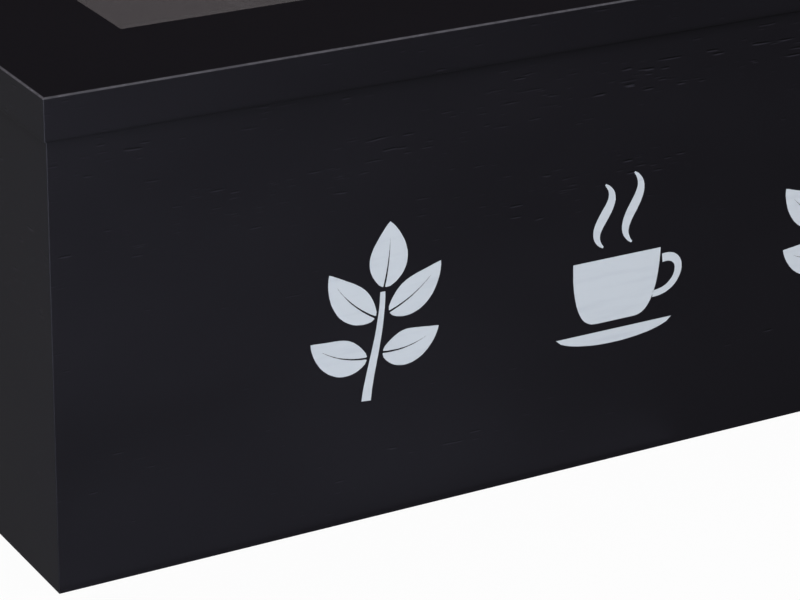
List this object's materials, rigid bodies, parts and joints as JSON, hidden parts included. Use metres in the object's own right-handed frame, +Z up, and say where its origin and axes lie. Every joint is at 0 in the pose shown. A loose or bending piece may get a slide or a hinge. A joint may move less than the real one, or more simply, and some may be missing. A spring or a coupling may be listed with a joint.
{
  "type": "tea bag organizer box",
  "caption": "Black painted wooden box with compartments for tea bags and a hinged lid with a window.",
  "frame": {"origin": "middle of the underside", "axes": "+X to the right along the front, +Y from the front to the hinges, +Z up"},
  "size_m": [0.225, 0.16, 0.09],
  "materials": {
    "black_paint": "satin black paint over open-pored wood",
    "inner_black": "matt black paint on thin board",
    "pane": "clear, smooth",
    "steel": "nickel plated"
  },
  "bodies": {
    "box": {"front_panel": "black_paint", "back_panel": "black_paint", "left_panel": "black_paint", "right_panel": "black_paint", "bottom_panel": "inner_black", "long_divider": "inner_black", "cross_divider_left": "inner_black", "cross_divider_right": "inner_black", "hinge_left_box_leaf": "steel", "hinge_right_box_leaf": "steel", "hinge_left_pin": "steel", "hinge_right_pin": "steel", "box_hinge_screws": "steel"},
    "lid": {"lid_front_rail": "black_paint", "lid_back_rail": "black_paint", "lid_left_stile": "black_paint", "lid_right_stile": "black_paint", "window_pane": "pane", "bead_front": "black_paint", "bead_back": "black_paint", "bead_left": "black_paint", "bead_right": "black_paint", "bead_pins": "steel", "hinge_left_lid_leaf": "steel", "hinge_right_lid_leaf": "steel", "lid_hinge_screws": "steel"}
  },
  "joints": [
    {"name": "lid_hinge", "type": "hinge", "parent": "box", "child": "lid", "pos_m": [0, 0.0775, 0.0823], "axis": [-1, 0, 0], "range_deg": [0, 94]}
  ]
}
